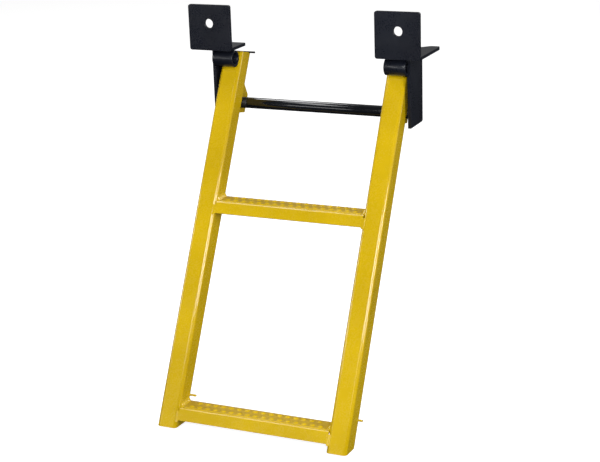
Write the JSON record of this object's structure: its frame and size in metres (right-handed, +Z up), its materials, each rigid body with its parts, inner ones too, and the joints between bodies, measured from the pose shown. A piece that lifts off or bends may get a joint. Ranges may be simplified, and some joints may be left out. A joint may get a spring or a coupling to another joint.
{
  "type": "tailgate step",
  "caption": "Ladder step for a tailgate. It hangs on a crossbar between bolt-on brackets, swings up level and slides in on rollers to stow.",
  "frame": {"origin": "midway between the two bolt holes, on the back faces of the bolt plates", "axes": "+X to the right seen from in front, +Y towards the vehicle and square to the bolt plates, +Z up"},
  "size_m": [0.3726, 0.3252, 0.5967],
  "materials": {
    "yellow_paint": "gloss yellow powder coat",
    "yellow_tread": "gloss yellow powder coat over a studded strip",
    "black_paint": "gloss black powder coat",
    "black_tube": "gloss black powder coat",
    "black_roller": "satin black plastic",
    "dark_pin": "satin black"
  },
  "bodies": {
    "bracket": {"left_angle": "black_paint", "right_angle": "black_paint", "left_side_plate": "black_paint", "right_side_plate": "black_paint", "left_stop_tube": "black_paint", "right_stop_tube": "black_paint", "cross_rod": "black_paint", "left_bracket_welds": "black_paint", "right_bracket_welds": "black_paint"},
    "centre_tube": {"centre_tube": "black_tube"},
    "left_roller": {"left_roller": "black_roller"},
    "right_roller": {"right_roller": "black_roller"},
    "ladder": {"left_rail": "yellow_paint", "right_rail": "yellow_paint", "upper_rung": "yellow_paint", "lower_rung": "yellow_paint", "upper_tread": "yellow_tread", "lower_tread": "yellow_tread", "left_hook": "yellow_paint", "right_hook": "yellow_paint", "left_top_pin": "dark_pin", "right_top_pin": "dark_pin", "left_stow_pin": "yellow_paint", "right_stow_pin": "yellow_paint", "upper_rung_welds": "yellow_paint", "lower_rung_welds": "yellow_paint", "hook_welds": "yellow_paint"}
  },
  "joints": [
    {"name": "ladder_swing", "type": "hinge", "parent": "bracket", "child": "centre_tube", "pos_m": [0, 0.04436, -0.13095], "axis": [-1, 0, 0], "range_deg": [0, 61.5]},
    {"name": "ladder_slide", "type": "slide", "parent": "centre_tube", "child": "ladder", "axis": [0, 0.4772, 0.8788], "range_m": [0, 0.455]},
    {"name": "left_roller_spin", "type": "hinge", "parent": "bracket", "child": "left_roller", "pos_m": [-0.136, 0.04436, -0.13095], "axis": [-1, 0, 0], "continuous": true},
    {"name": "right_roller_spin", "type": "hinge", "parent": "bracket", "child": "right_roller", "pos_m": [0.136, 0.04436, -0.13095], "axis": [-1, 0, 0], "continuous": true}
  ],
  "couplings": [
    {"joint": "left_roller_spin", "follows": "ladder_slide", "rad_per_m": 117.65},
    {"joint": "right_roller_spin", "follows": "ladder_slide", "rad_per_m": 117.65}
  ]
}
